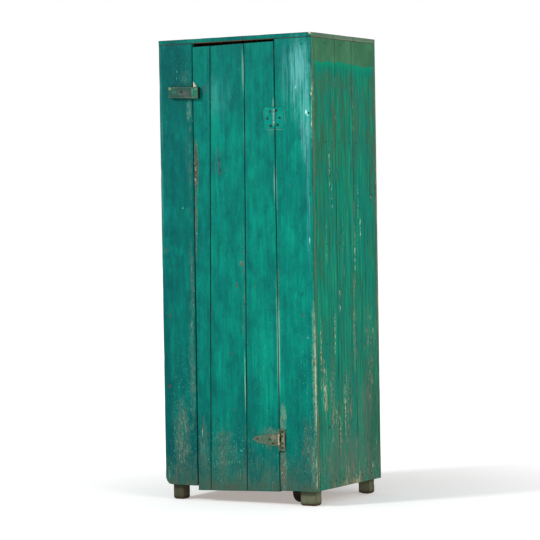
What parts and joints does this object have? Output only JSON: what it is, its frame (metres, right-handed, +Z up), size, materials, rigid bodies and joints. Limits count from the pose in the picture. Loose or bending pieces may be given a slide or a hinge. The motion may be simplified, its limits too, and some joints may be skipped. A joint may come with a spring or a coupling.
{
  "type": "pantry cabinet",
  "caption": "Tall narrow board-built pantry cabinet in worn teal paint, with one hinged plank door, a wooden turn button, shelves inside and corner-post feet.",
  "frame": {"origin": "on the floor, at the middle of the rectangle that the whole cabinet covers", "axes": "+Z up, -Y out of the door's face, +X towards the hinge side as seen from the front"},
  "size_m": [0.628, 0.496, 1.6508],
  "materials": {
    "teal_paint": "worn semi-gloss oil paint on softwood",
    "green_paint": "thin streaky paint over an older green",
    "weathered_posts": "grey weathered paint, bare edges",
    "worn_button": "handled, paint mostly rubbed grey",
    "bare_wood": "dry unpainted pine, aged brown",
    "painted_iron": "painted over with the case",
    "worn_iron": "paint rubbed to dull grey metal",
    "rusty_iron": "dark rust"
  },
  "bodies": {
    "carcass": {"back_board_1": "bare_wood", "back_board_2": "bare_wood", "back_board_3": "bare_wood", "back_board_4": "bare_wood", "back_nails": "rusty_iron", "bottom_rail_front": "bare_wood", "bottom_rail_left": "bare_wood", "bottom_rail_rear": "bare_wood", "bottom_rail_right": "bare_wood", "butt_hinge_pin": "rusty_iron", "butt_hinge_stile_leaf": "painted_iron", "floor_board_front": "bare_wood", "floor_board_rear": "bare_wood", "foot_bracket": "weathered_posts", "front_nails": "rusty_iron", "front_stile_left": "teal_paint", "front_stile_right": "teal_paint", "post_front_left": "weathered_posts", "post_front_right": "weathered_posts", "post_rear_left": "weathered_posts", "post_rear_right": "weathered_posts", "shelf_low_board_front": "bare_wood", "shelf_low_board_rear": "bare_wood", "shelf_low_cleats": "bare_wood", "shelf_middle_board_front": "bare_wood", "shelf_middle_board_rear": "bare_wood", "shelf_middle_cleats": "bare_wood", "shelf_top_board_front": "bare_wood", "shelf_top_board_rear": "bare_wood", "shelf_top_cleats": "bare_wood", "side_left_board_1": "green_paint", "side_left_board_2": "green_paint", "side_left_board_3": "green_paint", "side_nails_left": "rusty_iron", "side_nails_right": "rusty_iron", "side_right_board_1": "green_paint", "side_right_board_2": "green_paint", "side_right_board_3": "green_paint", "stile_hinge_screws": "rusty_iron", "tee_hinge_pin": "rusty_iron", "tee_hinge_stile_leaf": "worn_iron", "top_board_1": "green_paint", "top_board_2": "green_paint", "top_board_3": "green_paint", "top_nails": "rusty_iron", "top_rail_front": "bare_wood", "top_rail_left": "bare_wood", "top_rail_rear": "bare_wood", "top_rail_right": "bare_wood", "turn_button_nail": "rusty_iron"},
    "door": {"door_batten_lower": "bare_wood", "door_batten_upper": "bare_wood", "door_board_hinge": "teal_paint", "door_board_latch": "teal_paint", "door_board_middle": "teal_paint", "door_hinge_screws": "rusty_iron", "door_nails": "rusty_iron", "butt_hinge_door_leaf": "painted_iron", "tee_hinge_strap": "worn_iron"},
    "turn_button": {"turn_button": "worn_button"}
  },
  "joints": [
    {"name": "door_hinge", "type": "hinge", "parent": "carcass", "child": "door", "pos_m": [0.1625, -0.2328, 0.8], "axis": [0, 0, 1], "range_deg": [0, 175]},
    {"name": "turn_button_pivot", "type": "hinge", "parent": "carcass", "child": "turn_button", "pos_m": [-0.2092, -0.2382, 1.4625], "axis": [0, 1, 0], "continuous": true}
  ]
}
